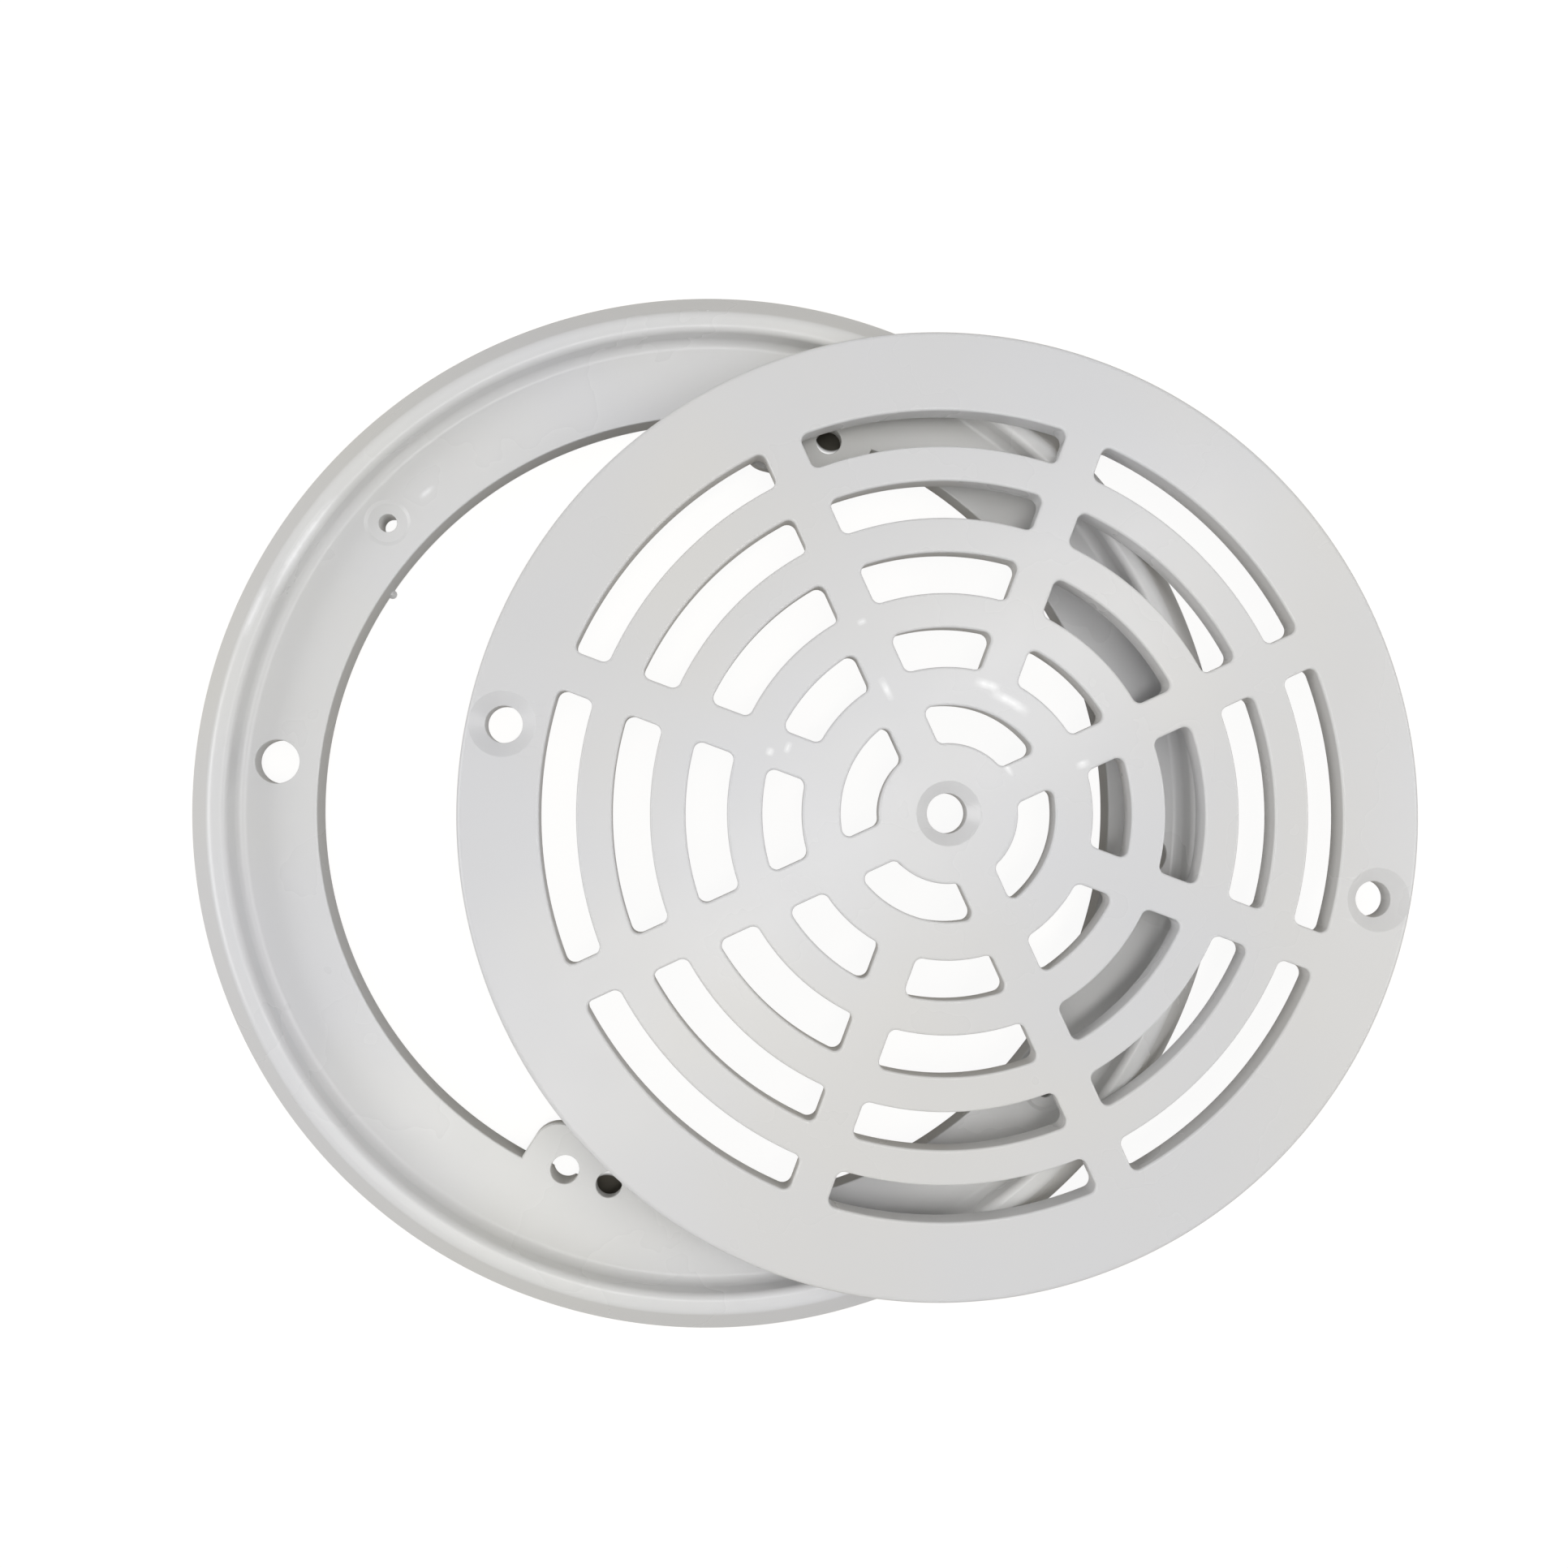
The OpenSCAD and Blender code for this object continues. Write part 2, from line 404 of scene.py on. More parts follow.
def finish_tree(graph, shape):
    """Smooth faces with sharp corners kept, real geometry, and the material."""
    material = graph.takes("Material", "Material")
    angle = graph.add("GeometryNodeInputMeshEdgeAngle", {}, {})
    shape = graph.add("GeometryNodeSetShadeSmooth", {"domain": "FACE"}, {"Geometry": shape})
    shape = graph.add(
        "GeometryNodeSetShadeSmooth",
        {"domain": "EDGE"},
        {"Geometry": shape, "Selection": angle > SHARP_ANGLE, "Shade Smooth": False},
    )
    shape = graph.add("GeometryNodeRealizeInstances", {}, {"Geometry": shape})
    shape = graph.add("GeometryNodeSetMaterial", {}, {"Geometry": shape, "Material": material})
    graph.gives("Geometry", shape)
    return graph.tree


print("edges that turn by more than", round(math.degrees(SHARP_ANGLE)), "degrees stay sharp")

# %% [markdown]
# The grate is a disc moulded in one shot: eight spokes, four rows of eight arc slots, four
# slots round the hub, three countersunk holes, and a groove in the underside near the edge.
# The slots widen a little towards the bottom, as moulded slots do, so that the part leaves its
# mould.

# %% Sizes of the grate
SPOKES = 8
SLOT_ROWS = 4
SPOKE_STEP = math.tau / SPOKES
GRATE_SIDES = 512

grate_sizes = {
    "Radius": mm(92.2),
    "Thickness": mm(5.2),
    "Rim rounding": mm(1),
    "Foot rounding": mm(0.25),
    "Slot edge rounding": mm(0.5),
    "Slot draft": mm(0.3),
    "Spoke width": mm(7.6),
    "Spoke angle": math.radians(25.7),
    "Corner radius": mm(1.5),
    "Hub slot outer radius": mm(20.5),
    "Hub slot inner radius": mm(13.4),
    "Hub hole radius": mm(3.85),
    "Screw hole radius": mm(3.5),
    "Screw circle radius": mm(85.4),
    "Screw hole angle": math.radians(169.9),
    "Countersink radius": mm(6.2),
    "Countersink depth": mm(1.9),
    "Groove outer radius": mm(89.6),
    "Groove inner radius": mm(79.5),
    "Groove depth": mm(2.2),
    "Bar width at the screws": mm(12.4),
    "Place": mm(43.3, 0, 10.5),
    "Row 1 outer radius": mm(76.9),
    "Row 1 width": mm(6.8),
    "Row 2 outer radius": mm(63.4),
    "Row 2 width": mm(7),
    "Row 3 outer radius": mm(49.7),
    "Row 3 width": mm(7.7),
    "Row 4 outer radius": mm(35.3),
    "Row 4 width": mm(7.4),
}
print("slots in the grate:", SPOKES * SLOT_ROWS + SPOKES // 2)


# %% Outlines of the grate's slots
def slot(graph, size, outer, inner, width, spread):
    return graph.add(
        "GeometryNodeGroup",
        {"node_tree": slot_outline},
        {
            "Outer radius": outer,
            "Inner radius": inner,
            "Spoke width": width,
            "Spread": spread,
            "Corner radius": size["Corner radius"],
        },
    )


def grate_slots(graph, size):
    """Every slot of the grate as a flat outline."""
    spoke, angle = size["Spoke width"], size["Spoke angle"]
    outlines = []
    for row in range(1, SLOT_ROWS + 1):
        outer = size[f"Row {row} outer radius"]
        one = slot(graph, size, outer, outer - size[f"Row {row} width"], spoke, SPOKE_STEP)
        outlines.append(around(graph, one, SPOKES, angle + SPOKE_STEP / 2, SPOKE_STEP))
    inner, outer = size["Hub slot inner radius"], size["Hub slot outer radius"]
    one = slot(graph, size, outer, inner, spoke, 2 * SPOKE_STEP)
    outlines.append(around(graph, one, SPOKES // 2, angle + SPOKE_STEP, 2 * SPOKE_STEP))
    return joined(graph, *outlines)


print("rows of slots:", SLOT_ROWS, "and one round the hub")

# %% [markdown]
# A solid disc could be cut by 36 slot tools, but then every edge would be sharp and a bevel
# would have to find them all. Here the walls are swept first, with their round edges in the
# profile, and the flat faces are filled in between them.


# %% Walls of the grate
def grate_walls(graph, size):
    """The walls of the slots, the rim and the groove, open at the top and bottom."""
    thickness, foot = size["Thickness"], size["Foot rounding"]
    soft, draft, rim = size["Slot edge rounding"], size["Slot draft"], size["Rim rounding"]
    down_slot = [(soft, 0, 0), (0, 0, soft), (draft, thickness, foot), (draft + foot, thickness, 0)]
    down_rim = [(-rim, 0, 0), (0, 0, rim), (0, thickness, foot * 2), (-foot * 2, thickness, 0)]
    down_groove = [(0, thickness - size["Groove depth"], 0), (0, thickness, 0)]
    outer, inner = size["Groove outer radius"], size["Groove inner radius"]
    groove = slot(graph, size, outer, inner, size["Bar width at the screws"], math.pi)
    groove = around(graph, groove, 2, size["Screw hole angle"] + math.pi / 2, math.pi)
    edge = circle(graph, size["Radius"], GRATE_SIDES)
    return joined(
        graph,
        flipped(graph, sweep(graph, grate_slots(graph, size), profile_line(graph, down_slot))),
        sweep(graph, edge, profile_line(graph, down_rim)),
        flipped(graph, sweep(graph, groove, profile_line(graph, down_groove))),
    )


print("the grate's rim has", GRATE_SIDES, "sides")

# %% [markdown]
# Mesh to Curve picks the open edges of the walls by their height, and Fill Curve closes them,
# with every slot as a hole. A Merge by Distance then welds walls and faces into one skin.


# %% Flat faces of the grate
def filled(graph, skin, level):
    """A flat face between the open edges of a skin that lie at one height."""
    height = graph.add("GeometryNodeInputPosition", {}, {})
    height = graph.add("ShaderNodeSeparateXYZ", {}, {"Vector": height}).other("Z")
    open_edge = graph.add("GeometryNodeInputMeshEdgeNeighbors", {}, {}) < 1.5
    near = (height > level - HAIR) * (height < level + HAIR)
    loops = graph.add(
        "GeometryNodeMeshToCurve", {}, {"Mesh": skin, "Selection": open_edge * near}
    )
    face = graph.add("GeometryNodeFillCurve", {"mode": "TRIANGLES"}, {"Curve": loops})
    return moved(graph, face, graph.vector(z=level))


def grate_disc(graph, size):
    """The closed disc with its slots and groove. Its top is at height 0."""
    skin, thickness = grate_walls(graph, size), size["Thickness"]
    whole = joined(
        graph,
        skin,
        filled(graph, skin, thickness * 0),
        flipped(graph, filled(graph, skin, -(thickness - size["Groove depth"]))),
        flipped(graph, filled(graph, skin, -thickness)),
    )
    weld = {"Geometry": whole, "Distance": mm(0.002)}
    return graph.add("GeometryNodeMergeByDistance", {}, weld)


print("walls and faces are welded within 0.002 mm")

# %% [markdown]
# A countersunk hole is a turned tool: a wide mouth that flares softly at the face, a cone, and
# a straight bore. The grate is cut lying with its top at height 0, and only then set down on
# the ring's rim.


# %% The grate as one tree
def sunk_hole(graph, size, hole):
    lip, sink, thickness = size["Foot rounding"], size["Countersink radius"], size["Thickness"]
    points = [
        (sink + lip * 4, -lip * 2, 0),
        (sink + lip * 2, -lip * 0.3, 0),
        (sink, 0, lip * 2),
        (hole, size["Countersink depth"], lip),
        (hole, thickness + lip * 2, 0),
    ]
    return turned(graph, points)


def build_grate_tree(table):
    graph = new_geometry_graph("grate")
    size = named_inputs(graph, table)
    screw_hole = sunk_hole(graph, size, size["Screw hole radius"])
    screws = pair(graph, screw_hole, size["Screw circle radius"], size["Screw hole angle"])
    hub_hole = sunk_hole(graph, size, size["Hub hole radius"])
    whole = cut(graph, grate_disc(graph, size), hub_hole, screws)
    whole = moved(graph, whole, size["Place"])
    whole = moved(graph, whole, graph.vector(z=size["Thickness"]))
    return finish_tree(graph, whole)


grate_tree = build_grate_tree(grate_sizes)
print("grate tree:", len(grate_tree.nodes), "nodes")

# %% [markdown]
# The frame ring is a turned body with a stepped section: a flat rim, a sloped shoulder outside
# and a recess inside, in which the grate belongs. Two ears reach into the opening and carry the
# screws that hold the ring down.

# %% Sizes of the ring
RING_SIDES = 480

ring_sizes = {
    "Opening radius": mm(77.7),
    "Recess radius": mm(92.6),
    "Rim flat radius": mm(96),
    "Outer radius": mm(101.6),
    "Height": mm(10.5),
    "Recess floor height": mm(5),
    "Floor underside height": mm(1.7),
    "Skirt height": mm(4.2),
    "Wall thickness": mm(3),
    "Edge rounding": mm(0.6),
    "Rim rounding": mm(2.4),
    "Skirt rounding": mm(1.2),
    "Hollow foot": mm(0.4),
    "Ear hole circle radius": mm(76.2),
    "Ear angle": math.radians(74.8),
    "Ear hole pitch": math.radians(6.8),
    "Ear inner end": mm(67.7),
    "Ear side beyond the holes": mm(7.7),
    "Ear corner radius": mm(5.2),
    "Ear thickness": mm(2.2),
    "Ear root flare": mm(1.2),
    "Ear hole radius": mm(2.5),
    "Ear hole relief radius": mm(4),
    "Second hole radius": mm(2.75),
    "Screw circle radius": mm(85.4),
    "Pilot hole angle": math.radians(140.5),
    "Pilot hole radius": mm(1.75),
    "Pilot spot radius": mm(4.5),
    "Pilot spot depth": mm(0.3),
    "Boss radius": mm(5),
    "Fixing hole circle radius": mm(85.8),
    "Fixing hole angle": math.radians(175.1),
    "Fixing hole radius": mm(4.2),
    "Rib count": 16,
    "Rib thickness": mm(2),
    "Rib angle": math.radians(4),
    "Rib gap": mm(1),
    "Flash angle": math.radians(148),
}
print("the ring is", round(2 * ring_sizes["Outer radius"] / MM, 1), "mm wide")


# %% Body and ribs of the ring
def ring_body(graph, size):
    """The whole section as one closed profile, swept round the opening."""
    opening, recess, outer = size["Opening radius"], size["Recess radius"], size["Outer radius"]
    rim_flat, height, skirt = size["Rim flat radius"], size["Height"], size["Skirt height"]
    floor, under = size["Recess floor height"], size["Floor underside height"]
    wall, soft = size["Wall thickness"], size["Edge rounding"]
    section = [
        (opening, 0, soft * 0.5),
        (opening + wall, 0, 0),
        (opening + wall, under, 0),
        (recess + size["Hollow foot"], under, 0),
        (rim_flat - wall * 0.5, height - wall, 0),
        (outer - wall, skirt - wall * 0.5, 0),
        (outer - wall, 0, 0),
        (outer, 0, soft * 0.5),
        (outer, skirt, size["Skirt rounding"]),
        (rim_flat, height, size["Rim rounding"]),
        (recess, height, soft * 2.2),
        (recess, floor, soft * 3),
        (opening, floor, soft * 0.5),
    ]
    points = [(x - opening, 0 - z, rounding) for x, z, rounding in section]
    profile = profile_line(graph, points, closed=True)
    return flipped(graph, sweep(graph, circle(graph, opening, RING_SIDES), profile))


def ring_ribs(graph, size):
    """Thin plates that stiffen the hollow underside."""
    opening, recess, outer = size["Opening radius"], size["Recess radius"], size["Outer radius"]
    wall, gap, top = size["Wall thickness"], size["Rib gap"], size["Recess floor height"]
    under_rim = size["Height"] - wall * 0.5
    section = [
        (opening + wall * 0.5, gap, 0),
        (outer - wall * 0.5, gap, 0),
        (outer - wall * 0.5, size["Skirt height"] - gap, 0),
        (size["Rim flat radius"], under_rim, 0),
        (recess + gap, under_rim, 0),
        (recess + gap, top - gap, 0),
        (opening + wall * 0.5, top - gap, 0),
    ]
    profile = profile_line(graph, [(x, 0 - z, r) for x, z, r in section], closed=True)
    half = size["Rib thickness"] * 0.5
    width = graph.add(
        "GeometryNodeCurvePrimitiveLine",
        {},
        {"Start": graph.vector(y=-half), "End": graph.vector(y=half)},
    )
    rib = graph.add(
        "GeometryNodeCurveToMesh", {}, {"Curve": width, "Profile Curve": profile, "Fill Caps": True}
    )
    count = size["Rib count"]
    return around(graph, flipped(graph, rib), count, size["Rib angle"], math.tau / count)


print("the ring is swept with", RING_SIDES, "sides and has", ring_sizes["Rib count"], "ribs")

# %% [markdown]
# An ear is a flat plate with round corners, flush with the recess floor. It is the convex hull
# of four turned pillars: two at its free end give the round corners, and two at the opening
# flare a little where the plate grows out of the ring.


# %% Ears of the ring
def ear_top(size):
    """The ears' top, a hair under the recess floor, so that no two faces coincide."""
    return size["Recess floor height"] - HAIR


def ring_ears(graph, size):
    top, soft, pitch = ear_top(size), size["Edge rounding"], size["Ear hole pitch"]
    hole_offset = size["Ear hole circle radius"] * (pitch * 0.5).sin()
    half_width = hole_offset + size["Ear side beyond the holes"]

    def pillars(x, radius, flare=0):
        pillar = turned(graph, [
            (radius - soft * 0.5, 0 - top, 0),
            (radius, soft * 0.5 - top, 0),
            (radius, size["Ear thickness"] - top, 0),
        ])
        side = half_width + flare - radius
        left = moved(graph, pillar, graph.vector(x, side))
        right = moved(graph, pillar, graph.vector(x, 0 - side))
        return joined(graph, left, right)

    corner = size["Ear corner radius"]
    corners = pillars(size["Ear inner end"] + corner, corner)
    roots = pillars(size["Opening radius"], size["Wall thickness"] * 0.5, size["Ear root flare"])
    plate = graph.add("GeometryNodeConvexHull", {}, {"Geometry": joined(graph, corners, roots)})
    return around(graph, plate, 2, size["Ear angle"] + pitch * 0.5, math.pi - pitch)


print("an ear is the hull of four pillars")

# %% [markdown]
# The hole tools flare a little at the top, which leaves the soft edge of a moulded hole. Under
# each main ear hole the ring's lip is relieved, so that nothing shows through the hole but the
# ground. The second holes are mirror images of each other and not half a turn apart.


# %% Holes of the ring
def straight_hole(graph, size, radius, top):
    soft = size["Edge rounding"]
    return turned(graph, [
        (radius + soft * 1.2, 0 - top - soft, 0),
        (radius + soft * 0.6, 0 - top - soft * 0.12, 0),
        (radius, 0 - top, soft * 0.5),
        (radius, soft, 0),
    ])


def pilot_spot(graph, size):
    """The shallow round spot in which a pilot hole lies."""
    soft, radius = size["Edge rounding"], size["Pilot spot radius"]
    floor = size["Recess floor height"]
    return turned(graph, [
        (radius + soft * 1.2, 0 - floor - soft, 0),
        (radius + soft * 0.6, 0 - floor - soft * 0.12, 0),
        (radius, 0 - floor, soft * 0.4),
        (radius - soft * 1.2, size["Pilot spot depth"] - floor, 0),
    ])


def ring_holes(graph, size):
    """The tools for every hole, in pairs."""
    top, floor, soft = ear_top(size), size["Recess floor height"], size["Edge rounding"]
    ears, angle, pitch = size["Ear hole circle radius"], size["Ear angle"], size["Ear hole pitch"]
    screws, pilot_angle = size["Screw circle radius"], size["Pilot hole angle"]
    pilot = straight_hole(graph, size, size["Pilot hole radius"], floor - size["Pilot spot depth"])
    fixing = straight_hole(graph, size, size["Fixing hole radius"], floor)
    ear_hole = straight_hole(graph, size, size["Ear hole radius"], top)
    second = straight_hole(graph, size, size["Second hole radius"], top)
    wide = size["Ear hole relief radius"]
    relief = turned(graph, [(wide, size["Ear thickness"] - top, 0), (wide, soft, 0)])
    return [
        pair(graph, pilot_spot(graph, size), screws, pilot_angle),
        pair(graph, pilot, screws, pilot_angle),
        pair(graph, fixing, size["Fixing hole circle radius"], size["Fixing hole angle"]),
        pair(graph, ear_hole, ears, angle),
        pair(graph, relief, ears, angle),
        pair(graph, second, ears, angle + pitch, math.pi - pitch * 2),
    ]


print("holes: two pilots, two fixing holes, two ears with two holes each")

# %% [markdown]
# Bosses stand under the pilot holes, because a screw needs more depth than the floor has. The
# photograph also shows a nib of flash on the opening's lower edge, left by the mould's parting
# line. It is a small cone, fused on like the rest.


# %% The ring as one tree
def build_ring_tree(table):
    graph = new_geometry_graph("frame ring")
    size = named_inputs(graph, table)
    floor, opening = size["Recess floor height"], size["Opening radius"]
    boss = size["Boss radius"]
    boss = turned(graph, [(boss, size["Rib gap"] - floor, 0), (boss, 0, 0)])
    bosses = pair(graph, boss, size["Screw circle radius"], size["Pilot hole angle"])
    flash_top = size["Floor underside height"] * 0.6
    flash = turned(graph, [(mm(0.3), 0 - flash_top, 0), (mm(0.9), 0 - HAIR, 0)], segments=12)
    flash = around(graph, moved(graph, flash, graph.vector(opening)), 1, size["Flash angle"], 0)
    whole = fused(
        graph, ring_body(graph, size), ring_ribs(graph, size), bosses, ring_ears(graph, size), flash
    )
    return finish_tree(graph, cut(graph, whole, *ring_holes(graph, size)))


ring_tree = build_ring_tree(ring_sizes)
print("ring tree:", len(ring_tree.nodes), "nodes")

# %% [markdown]
# Moulded white plastic is never one flat colour. It is a little cooler or warmer from place to
# place, its gloss varies where the mould was polished less, and the surface is faintly wavy.
# Glossy arcs and specks, and a bright streak along the ring's rim, are painted highlights: pale
# marks in the colour, with a little less roughness and a slight bump. Each is given by its distance
# and angle from the piece's middle, so a mark can follow an arc or a spoke, and only the top face
# takes it.


# %% White moulded plastic
DULL_WHITE = (0.62, 0.62, 0.6, 1)
# The pale colour of the painted highlights.
HIGHLIGHT_WHITE = (0.93, 0.93, 0.93, 1)


def scuff_mask(graph, where, centre, marks, grain):
    """1 inside the painted highlights, 0 elsewhere. A mark is (radius, degrees, half width, half
    length).
    """
    offset = graph.add("ShaderNodeVectorMath", {"operation": "SUBTRACT"}, {0: where, 1: centre})
    offset = graph.add("ShaderNodeSeparateXYZ", {}, {"Vector": offset})
    x, y, z = offset, offset.other("Y"), offset.other("Z")
    square = x * x + y * y
    radius = square.math("SQRT", square)
    angle = y.math("ARCTAN2", y, x)
    mask = 0
    for middle, degrees, half_width, half_length in marks:
        across = abs(radius - mm(middle)) / mm(half_width)
        along = abs(angle - math.radians(degrees)) * middle / half_length
        mask = mask + (1 - across).clip() * (1.5 - along * 1.5).clip()
    on_top = z > mm(-0.1)
    return (mask * on_top * (0.4 + grain)).clip()


def white_plastic(name, cool, warm, seed, centre, marks):
    material = bpy.data.materials.new(name)
    material.use_nodes = True
    graph = Graph(material.node_tree)
    where = graph.add("ShaderNodeTexCoord", {}, {}).other("Object")

    def noise(scale, detail=2.0):
        inputs = {"Vector": where, "W": seed, "Scale": scale, "Detail": detail}
        return graph.add("ShaderNodeTexNoise", {"noise_dimensions": "4D"}, inputs)

    drift = ((noise(16) - 0.5) * 3.5 + 0.5).clip()
    colour = graph.mix(drift, (*cool, 1), (*warm, 1))
    mottle = ((noise(60, 3) - 0.5) * 2 + 0.5).clip()
    colour = graph.mix(mottle * 0.06, colour, DULL_WHITE)
    # Painted highlights: inside the marks the colour turns pale, with less roughness and a slight
    # bump.
    highlights = scuff_mask(graph, where, centre, marks, noise(900))
    colour = graph.mix(highlights, colour, HIGHLIGHT_WHITE)
    rough = 0.27 + (noise(28) - 0.4) * 0.22 + (noise(120) - 0.5) * 0.05 - highlights * 0.1
    waves = noise(45, 1) * 0.7 + noise(160, 0) * 0.05 + highlights * 0.12
    bump = graph.add("ShaderNodeBump", {}, {"Strength": 0.25, "Distance": mm(0.6), "Height": waves})
    shader = graph.add(
        "ShaderNodeBsdfPrincipled",
        {},
        {"Base Color": colour, "Roughness": rough, "Normal": bump, "IOR": 1.49},
    )
    graph.add("ShaderNodeOutputMaterial", {}, {"Surface": shader})
    print(name, "uses", len(material.node_tree.nodes), "nodes")
    return material


# %% The two plastics
# Marks of painted highlight. The ring's first mark is the bright streak along its rim's inner edge.
ring_highlight_marks = [(93.6, 149, 1.2, 12), (95.2, 158, 0.8, 6), (84.2, 134, 0.7, 2)]
grate_highlight_marks = [
    (24.4, 62, 1.2, 4.5),
    (25.6, 74, 1.1, 2.8),
    (26.4, 118, 2.6, 0.8),
    (39.9, 115.7, 0.7, 1.0),
    (35.9, 162.2, 0.9, 0.9),
    (27.5, 21, 1.6, 0.9),
    (14.2, 42, 0.7, 3),
    (33, 159, 0.7, 1.2),
]
grate_middle = grate_sizes["Place"] + Vector((0, 0, grate_sizes["Thickness"]))
ring_plastic = white_plastic(
    "ring plastic", (0.72, 0.72, 0.73), (0.74, 0.735, 0.71), 1.0, mm(0, 0, 0), ring_highlight_marks
)
grate_plastic = white_plastic(
    "grate plastic", (0.69, 0.69, 0.70), (0.71, 0.70, 0.68), 5.0, grate_middle, grate_highlight_marks
)

# %% [markdown]
# A tree is run by a modifier on an empty object. The result is copied out as a plain mesh and
# the object is thrown away, so the finished piece carries no modifier and stands at the origin.
# Each mesh is then measured: an edge that doesn't lie between two faces would be a leak.


# %% Run a tree and measure what it made
def measure(mesh):
    """Prints triangles, volume and open edges of a finished mesh."""
    shell = bmesh.new()
    shell.from_mesh(mesh)
    triangles = sum(len(face.verts) - 2 for face in shell.faces)
    open_edges = [edge for edge in shell.edges if len(edge.link_faces) != 2]
    volume = shell.calc_volume(signed=True) / MM**3
    shell.free()
    print(f"{mesh.name}: {triangles} triangles, {volume:.0f} mm3, {len(open_edges)} open edges")


def bake(name, tree, values):
    """Runs a tree with the given input values and keeps the result as a plain mesh."""
    source = bpy.data.objects.new(name + "_source", bpy.data.meshes.new(name + "_source"))
    scene.collection.objects.link(source)
    modifier = source.modifiers.new("shape", "NODES")
    modifier.node_group = tree
    for item in tree.interface.items_tree:
        if item.in_out == "INPUT" and item.name in values:
            modifier[item.identifier] = values[item.name]
    source.modifiers.new("even shading", "WEIGHTED_NORMAL").keep_sharp = True
    evaluated = bpy.context.evaluated_depsgraph_get()
    mesh = bpy.data.meshes.new_from_object(source.evaluated_get(evaluated), depsgraph=evaluated)
    mesh.name = name
    bpy.data.objects.remove(source)
    piece = bpy.data.objects.new(name, mesh)
    scene.collection.objects.link(piece)
    measure(mesh)
    return piece


ring = bake("ring_moulding", ring_tree, ring_sizes | {"Material": ring_plastic})
grate = bake("grate_moulding", grate_tree, grate_sizes | {"Material": grate_plastic})

# %% [markdown]
# Both pieces belong to one body, because the loose grate has no hinge. Each says which CAD solid it
# stands for, and that solid is hidden.

# %% Each piece stands for its CAD solid
for piece, node, slot_name in (
    (ring, "frame_ring", "ring_plastic"),
    (grate, "grate", "grate_plastic"),
):
    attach(piece, "root")
    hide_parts(node)
    print(piece.name, "stands for", node)

# %% [markdown]
# The floor lies under the ring's seating face. The camera sees it white, with a pale shadow. A
# mirror-like reflection sees it dimmer and a little brown, and it throws little light back up, so
# that the upright walls of the slots stay as dark as on the real cover. Three dark spots on it are
# painted shade: the dark ground in deep shadow under three of the ring's screw holes. Three dark
# spots on
# it lie under screw holes, through which the photograph shows dark ground.

# %% Floor
FLOOR_HALF = 3.0
FLOOR_DROP = mm(0.2)
SHADE_SPOT_PLACES = ((20.9, 76.6), (-20.9, -76.6), (67.5, -55.6))


def dark_spots(graph):
    """1 in the middle of each spot of painted shade, falling to 0 at its soft edge."""
    where = graph.add("ShaderNodeTexCoord", {}, {}).other("Object")
    dark = 0
    for x, y in SHADE_SPOT_PLACES:
        middle = mm(x, y, 0) - Vector((0, 0, FLOOR_DROP))
        away = graph.add(
            "ShaderNodeVectorMath", {"operation": "DISTANCE"}, {0: where, 1: middle}
        ).other("Value")
        dark = dark + ((mm(4) - away) / mm(0.8)).clip()
    return dark


def pale_floor_material():
    material = bpy.data.materials.new("pale floor")
    material.use_nodes = True
    graph = Graph(material.node_tree)
    rays = graph.add("ShaderNodeLightPath", {}, {})
    seen = (rays + rays.other("Is Glossy Ray") * 0.38 + rays.other("Is Transmission Ray")).clip()
    # Painted shade: the camera's white is taken out in soft spots under three screw holes.
    strength = seen * 0.93 * (1 - dark_spots(graph))
    tint = graph.mix(rays, (1, 0.95, 0.86, 1), (1, 1, 1, 1))
    glow = graph.add("ShaderNodeEmission", {}, {"Color": tint, "Strength": strength})
    paint = graph.add("ShaderNodeBsdfDiffuse", {}, {"Color": (0.13, 0.12, 0.1, 1)})
    both = graph.add("ShaderNodeAddShader", {}, {0: glow, 1: paint})
    graph.add("ShaderNodeOutputMaterial", {}, {"Surface": both})
    return material


def build_floor():
    mesh = bpy.data.meshes.new("floor")
    signs = ((-1, -1), (1, -1), (1, 1), (-1, 1))
    corners = [(x * FLOOR_HALF, y * FLOOR_HALF, -FLOOR_DROP) for x, y in signs]
    mesh.from_pydata(corners, [], [(0, 1, 2, 3)])
    mesh.materials.append(pale_floor_material())
    floor = bpy.data.objects.new("floor", mesh)
    scene.collection.objects.link(floor)


build_floor()
print("floor is", 2 * FLOOR_HALF, "m wide, with", len(SHADE_SPOT_PLACES), "dark spots")

# %% [markdown]
# The room is a plain grey world that is a little brighter near the horizon than overhead, as
# indoors by day. The camera itself sees it white.

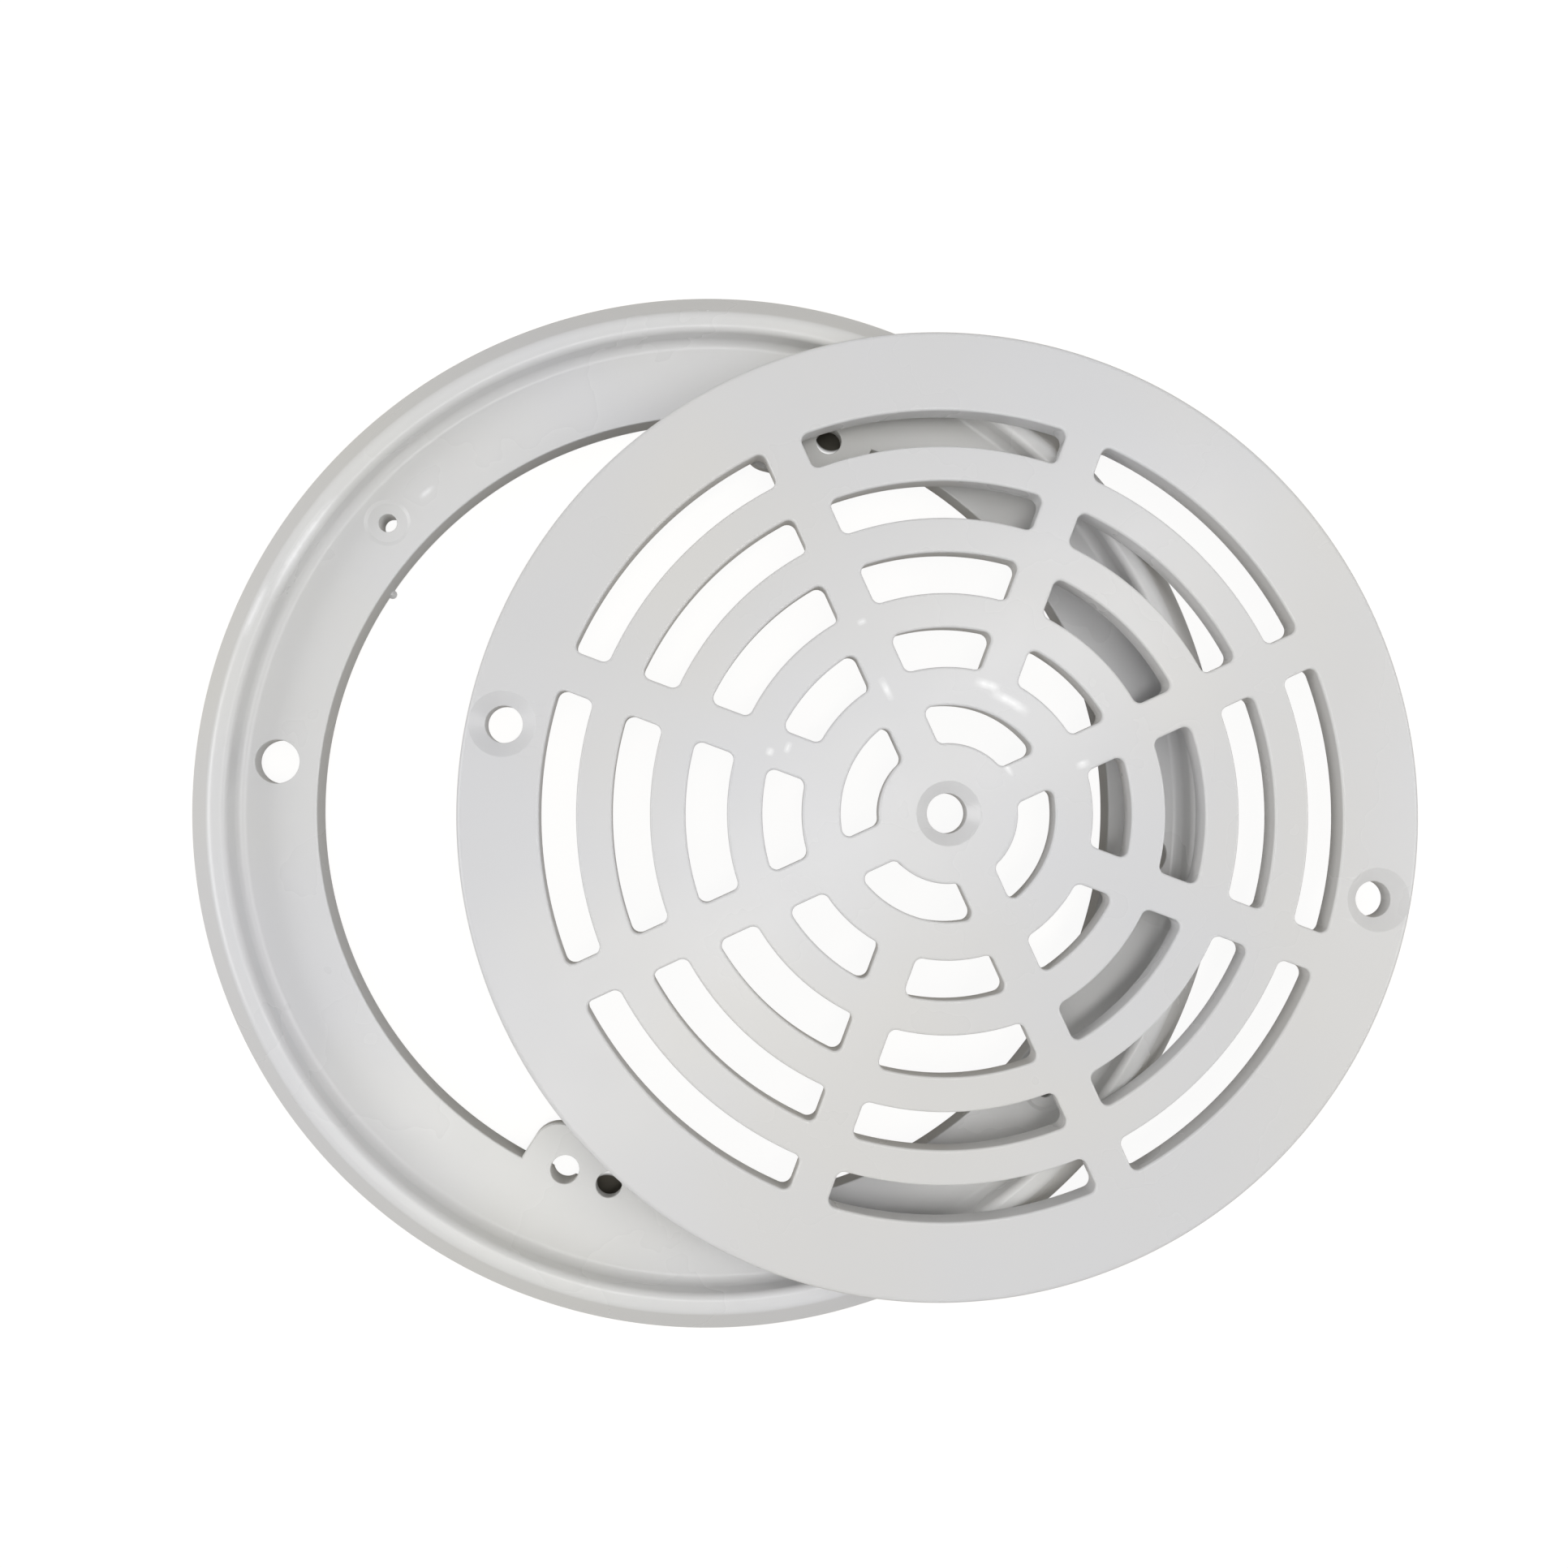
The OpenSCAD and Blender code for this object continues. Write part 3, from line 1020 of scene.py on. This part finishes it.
# %% World
world = bpy.data.worlds.new("studio")
scene.world = world
world.use_nodes = True
graph = Graph(world.node_tree)
rays = graph.add("ShaderNodeLightPath", {}, {})
seen = (rays + rays.other("Is Transmission Ray")).clip()
way = graph.add("ShaderNodeTexCoord", {}, {})
height = graph.add("ShaderNodeSeparateXYZ", {}, {"Vector": way}).other("Z").clip()
room = 0.6 - height * 0.24
strength = room + seen * (1 - room)
sky = graph.add("ShaderNodeBackground", {}, {"Color": (1, 1, 1, 1), "Strength": strength})
graph.add("ShaderNodeOutputWorld", {}, {"Surface": sky})
print("world:", len(world.node_tree.nodes), "nodes")

# %% [markdown]
# The photograph's light comes mostly from a low, wide window on the left: faces that look left
# are bright, and the recess lies in a soft shade beside its wall. A weaker lamp on the right
# and a long strip overhead fill in, and the strip's soft reflection runs across the grate.


# %% Lamps
LAMP_TARGET = mm(20, 0, 0)


def lamp(name, place, size, watts):
    """A soft oval lamp that looks at the middle of the ring and grate together."""
    light = bpy.data.lights.new(name, "AREA")
    light.shape = "ELLIPSE"
    light.size, light.size_y = size
    light.energy = watts
    obj = bpy.data.objects.new(name, light)
    scene.collection.objects.link(obj)
    obj.location = place
    look = LAMP_TARGET - Vector(place)
    obj.rotation_euler = look.to_track_quat("-Z", "Y").to_euler()
    print(name, "at", [round(v, 2) for v in obj.location], "gives", watts, "W")


lamp("window on the left", (-1.5, -0.08, 0.76), (1.2, 0.8), 9.2)
lamp("lamp on the right", (1.2, -0.03, 0.92), (0.9, 0.7), 5.2)
lamp("ceiling strip", (0.08, -0.07, 1.2), (1.6, 0.22), 4.4)

# %% [markdown]
# The camera stands where the photograph's lens stood. Its place, tilt and turn were worked out
# from the outlines of both pieces.

# %% Camera
camera_data = bpy.data.cameras.new("camera")
camera_data.lens = 26.09
camera_data.sensor_width = 36
camera_data.clip_start = 0.01
camera = bpy.data.objects.new("camera", camera_data)
scene.collection.objects.link(camera)
camera_place = mm(0.428, 0.409, 228.996)
right = Vector((0.99831, 0.02074, 0.05421)).normalized()
back = Vector((-0.05377, -0.02102, 0.99833)).normalized()
up = back.cross(right).normalized()
right = up.cross(back)
turn = Matrix((right, up, back)).transposed().to_4x4()
camera.matrix_world = Matrix.Translation(camera_place) @ turn
scene.camera = camera
print("camera at", [round(v, 3) for v in camera.location])

# %% [markdown]
# The Standard view shows a colour about as it is written. The last line brings the view layer up to
# date.

# %% Look and the end
scene.view_settings.view_transform = "Standard"
bpy.context.view_layer.update()
